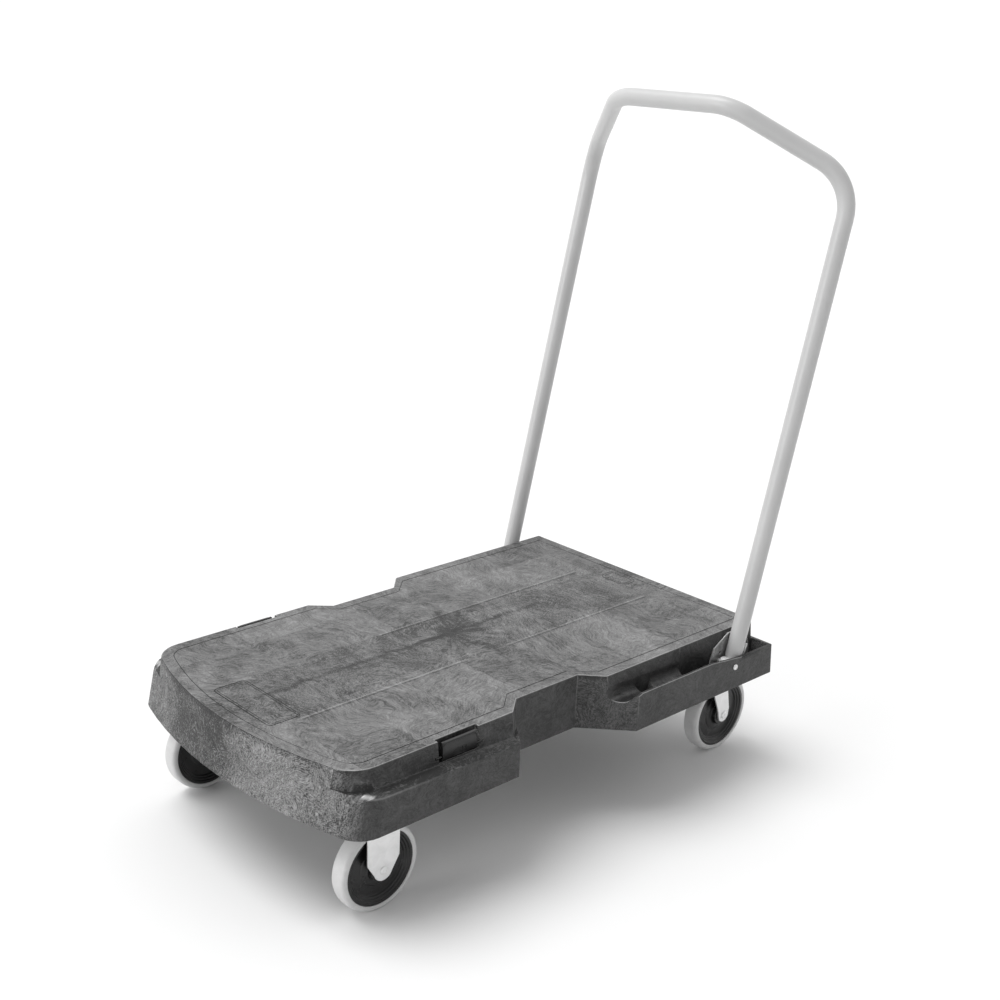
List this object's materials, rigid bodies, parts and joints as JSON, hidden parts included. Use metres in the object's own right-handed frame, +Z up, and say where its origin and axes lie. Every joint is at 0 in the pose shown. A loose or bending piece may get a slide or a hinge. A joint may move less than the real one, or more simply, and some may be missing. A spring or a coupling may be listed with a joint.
{
  "type": "folding-handle furniture dolly",
  "caption": "Flat moulded deck with ribbed underside on fixed front and swivel rear casters, with a bent tube push handle that folds down over the nose.",
  "frame": {"origin": "on the floor, at the centre of the overall box in plan, with the handle up", "axes": "+Z up, +Y towards the handle end, +X to the right of someone who stands at the nose and looks along +Y"},
  "size_m": [0.5316, 0.9194, 0.9772],
  "materials": {
    "deck_plastic": "moulded structural foam with swirled flow marks",
    "handle_paint": "satin powder coat",
    "zinc_steel": "bright zinc plated",
    "grey_rubber": "smooth non-marking tread",
    "hub_plastic": "smooth, slightly glossy",
    "clip_plastic": "smooth",
    "bush_steel": "turned"
  },
  "bodies": {
    "base": {"deck": "deck_plastic", "pivot_bracket_right": "zinc_steel", "pivot_bolt_right": "zinc_steel", "pivot_nut_right": "zinc_steel", "latch_pin_right": "zinc_steel", "front_fork_right": "zinc_steel", "front_wheel_bush_right": "bush_steel", "front_axle_right": "zinc_steel", "rear_mount_plate_right": "zinc_steel", "rear_ball_race_right": "zinc_steel", "rear_kingpin_right": "zinc_steel", "front_caster_screw_right_1": "zinc_steel", "rear_caster_screw_right_1": "zinc_steel", "front_caster_screw_right_2": "zinc_steel", "rear_caster_screw_right_2": "zinc_steel", "front_caster_screw_right_3": "zinc_steel", "rear_caster_screw_right_3": "zinc_steel", "front_caster_screw_right_4": "zinc_steel", "rear_caster_screw_right_4": "zinc_steel", "pivot_bracket_left": "zinc_steel", "pivot_bolt_left": "zinc_steel", "pivot_nut_left": "zinc_steel", "latch_pin_left": "zinc_steel", "front_fork_left": "zinc_steel", "front_wheel_bush_left": "bush_steel", "front_axle_left": "zinc_steel", "rear_mount_plate_left": "zinc_steel", "rear_ball_race_left": "zinc_steel", "rear_kingpin_left": "zinc_steel", "front_caster_screw_left_1": "zinc_steel", "rear_caster_screw_left_1": "zinc_steel", "front_caster_screw_left_2": "zinc_steel", "rear_caster_screw_left_2": "zinc_steel", "front_caster_screw_left_3": "zinc_steel", "rear_caster_screw_left_3": "zinc_steel", "front_caster_screw_left_4": "zinc_steel", "rear_caster_screw_left_4": "zinc_steel"},
    "handle": {"handle_tube": "handle_paint", "handle_lug_right": "zinc_steel", "handle_lug_left": "zinc_steel"},
    "latch_right": {"latch_clip_right": "clip_plastic"},
    "front_wheel_right": {"front_wheel_tread_right": "grey_rubber", "front_wheel_hub_right": "hub_plastic"},
    "swivel_right": {"rear_swivel_fork_right": "zinc_steel", "rear_wheel_bush_right": "bush_steel", "rear_axle_right": "zinc_steel"},
    "rear_wheel_right": {"rear_wheel_tread_right": "grey_rubber", "rear_wheel_hub_right": "hub_plastic"},
    "latch_left": {"latch_clip_left": "clip_plastic"},
    "front_wheel_left": {"front_wheel_tread_left": "grey_rubber", "front_wheel_hub_left": "hub_plastic"},
    "swivel_left": {"rear_swivel_fork_left": "zinc_steel", "rear_wheel_bush_left": "bush_steel", "rear_axle_left": "zinc_steel"},
    "rear_wheel_left": {"rear_wheel_tread_left": "grey_rubber", "rear_wheel_hub_left": "hub_plastic"}
  },
  "joints": [
    {"name": "handle_fold", "type": "hinge", "parent": "base", "child": "handle", "pos_m": [0, 0.28584, 0.1788], "axis": [1, 0, 0], "range_deg": [0, 101]},
    {"name": "latch_right_turn", "type": "hinge", "parent": "base", "child": "latch_right", "pos_m": [0.2265, -0.24066, 0.203], "axis": [0, 1, 0], "range_deg": [0, 13]},
    {"name": "front_wheel_right_roll", "type": "hinge", "parent": "base", "child": "front_wheel_right", "pos_m": [0.1975, -0.35266, 0.0625], "axis": [1, 0, 0], "continuous": true},
    {"name": "swivel_right_turn", "type": "hinge", "parent": "base", "child": "swivel_right", "pos_m": [0.1975, 0.30634, 0.143], "axis": [0, 0, 1], "continuous": true},
    {"name": "rear_wheel_right_roll", "type": "hinge", "parent": "swivel_right", "child": "rear_wheel_right", "pos_m": [0.1975, 0.33834, 0.0625], "axis": [1, 0, 0], "continuous": true},
    {"name": "latch_left_turn", "type": "hinge", "parent": "base", "child": "latch_left", "pos_m": [-0.2265, -0.24066, 0.203], "axis": [0, -1, 0], "range_deg": [0, 13]},
    {"name": "front_wheel_left_roll", "type": "hinge", "parent": "base", "child": "front_wheel_left", "pos_m": [-0.1975, -0.35266, 0.0625], "axis": [1, 0, 0], "continuous": true},
    {"name": "swivel_left_turn", "type": "hinge", "parent": "base", "child": "swivel_left", "pos_m": [-0.1975, 0.30634, 0.143], "axis": [0, 0, 1], "continuous": true},
    {"name": "rear_wheel_left_roll", "type": "hinge", "parent": "swivel_left", "child": "rear_wheel_left", "pos_m": [-0.1975, 0.33834, 0.0625], "axis": [1, 0, 0], "continuous": true}
  ]
}
